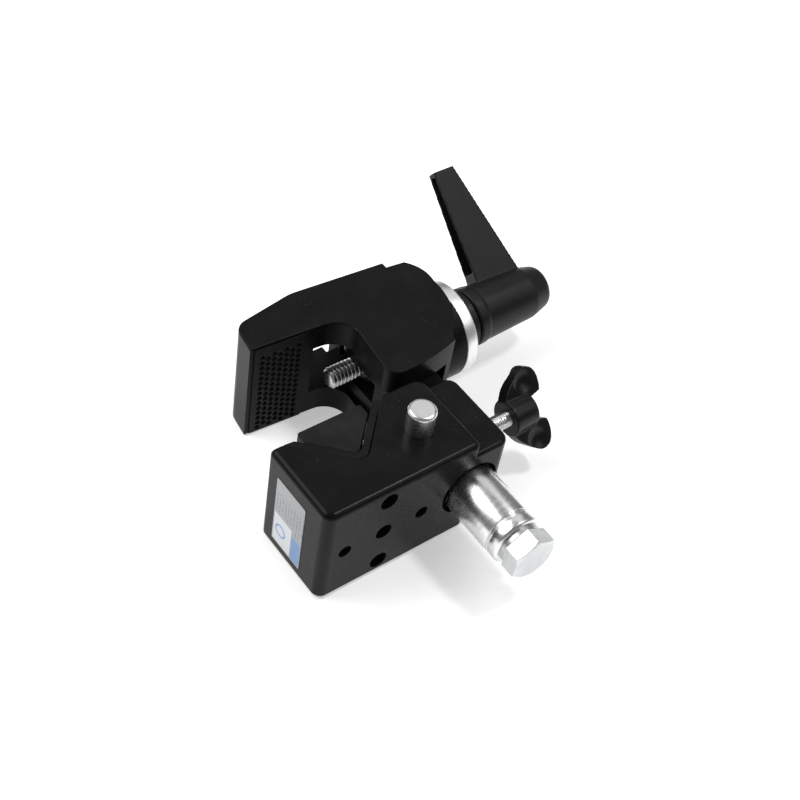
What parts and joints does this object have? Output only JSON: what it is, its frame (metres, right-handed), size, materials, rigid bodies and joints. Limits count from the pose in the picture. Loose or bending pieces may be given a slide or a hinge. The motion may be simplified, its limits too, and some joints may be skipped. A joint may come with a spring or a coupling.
{
  "type": "super clamp",
  "caption": "Screw-operated V-jaw clamp with a hinged fork-shaped hook, an indexing lever, a removable wedge and a locking spigot for mounting gear on bars, pipes and boards.",
  "frame": {"origin": "where the spigot's axis leaves the flat base face, at mid-thickness", "axes": "+X along the body towards the wing screw, +Y from the base face to the jaw and against the spigot, +Z through the thickness towards the plunger's button"},
  "size_m": [0.1181, 0.1179, 0.0455],
  "materials": {
    "black_enamel": "semi-gloss black enamel on die-cast aluminium",
    "black_satin": "satin black coat on the lever and its collar",
    "bright_steel": "bright plated steel",
    "zinc_steel": "zinc plated steel",
    "spring_steel": "spring steel, oiled",
    "machined_aluminium": "fine turned",
    "black_rubber": "matte black rubber",
    "wedge_plastic": "matte black plastic",
    "label_paper": "printed film sticker"
  },
  "bodies": {
    "base": {"lower_body": "black_enamel", "v_liner": "black_rubber", "wedge_insert": "wedge_plastic", "safety_pin_keeper": "zinc_steel", "safety_pin_spring": "spring_steel", "rating_label": "label_paper"},
    "hook": {"hook_jaw": "black_enamel", "hook_pad": "black_rubber", "hinge_pin": "zinc_steel"},
    "nut": {"trunnion_nut": "zinc_steel"},
    "thrust": {"thrust_washer": "bright_steel"},
    "spindle": {"clamp_spindle": "zinc_steel", "handle_collar": "black_satin", "collar_dowel": "zinc_steel", "lever_screw": "zinc_steel", "lever_spring": "spring_steel"},
    "lever": {"lever": "black_satin"},
    "plunger": {"safety_pin": "bright_steel"},
    "wing_stud": {"wing_screw_stud": "bright_steel"},
    "wing_head": {"wing_screw_head": "black_satin"},
    "spigot": {"spigot": "machined_aluminium", "spigot_lock_washer": "zinc_steel", "spigot_bolt": "bright_steel"}
  },
  "joints": [
    {"name": "hook_swing", "type": "hinge", "parent": "base", "child": "hook", "pos_m": [0.005, 0.039, 0], "axis": [0, 0, 1], "range_deg": [-14.2, 33.6]},
    {"name": "trunnion_tilt", "type": "hinge", "parent": "base", "child": "nut", "pos_m": [0.005, 0.0526, 0], "axis": [0, 0, 1], "range_deg": [-14.2, 33.6]},
    {"name": "spindle_feed", "type": "slide", "parent": "nut", "child": "thrust", "axis": [-1, 0, 0], "range_m": [-0.0033, 0.0077]},
    {"name": "lever_turn", "type": "hinge", "parent": "thrust", "child": "spindle", "pos_m": [0.036, 0.0526, 0], "axis": [-1, 0, 0], "range_deg": [-900, 2160]},
    {"name": "lever_pull", "type": "slide", "parent": "spindle", "child": "lever", "axis": [1, 0, 0], "range_m": [0, 0.004], "stiffness_N_per_m": 900, "springref_m": -0.003},
    {"name": "plunger_push", "type": "slide", "parent": "base", "child": "plunger", "axis": [0, 0, -1], "range_m": [0, 0.0062], "stiffness_N_per_m": 800, "springref_m": -0.003, "deforming": ["safety_pin_spring"]},
    {"name": "wing_feed", "type": "slide", "parent": "base", "child": "wing_stud", "axis": [1, 0, 0], "range_m": [0, 0.004]},
    {"name": "wing_turn", "type": "hinge", "parent": "wing_stud", "child": "wing_head", "pos_m": [0.029, 0.0143, 0], "axis": [1, 0, 0], "range_deg": [0, 1810]},
    {"name": "spigot_swivel", "type": "hinge", "parent": "base", "child": "spigot", "pos_m": [0, 0, 0], "axis": [0, 1, 0], "continuous": true}
  ],
  "couplings": [
    {"joint": "spindle_feed", "follows": "lever_turn", "m_per_rad": 0.00020213},
    {"joint": "hook_swing", "follows": "lever_turn", "ratio": 0.01543},
    {"joint": "trunnion_tilt", "follows": "lever_turn", "ratio": 0.01543},
    {"joint": "wing_turn", "follows": "wing_feed", "rad_per_m": 7854}
  ]
}
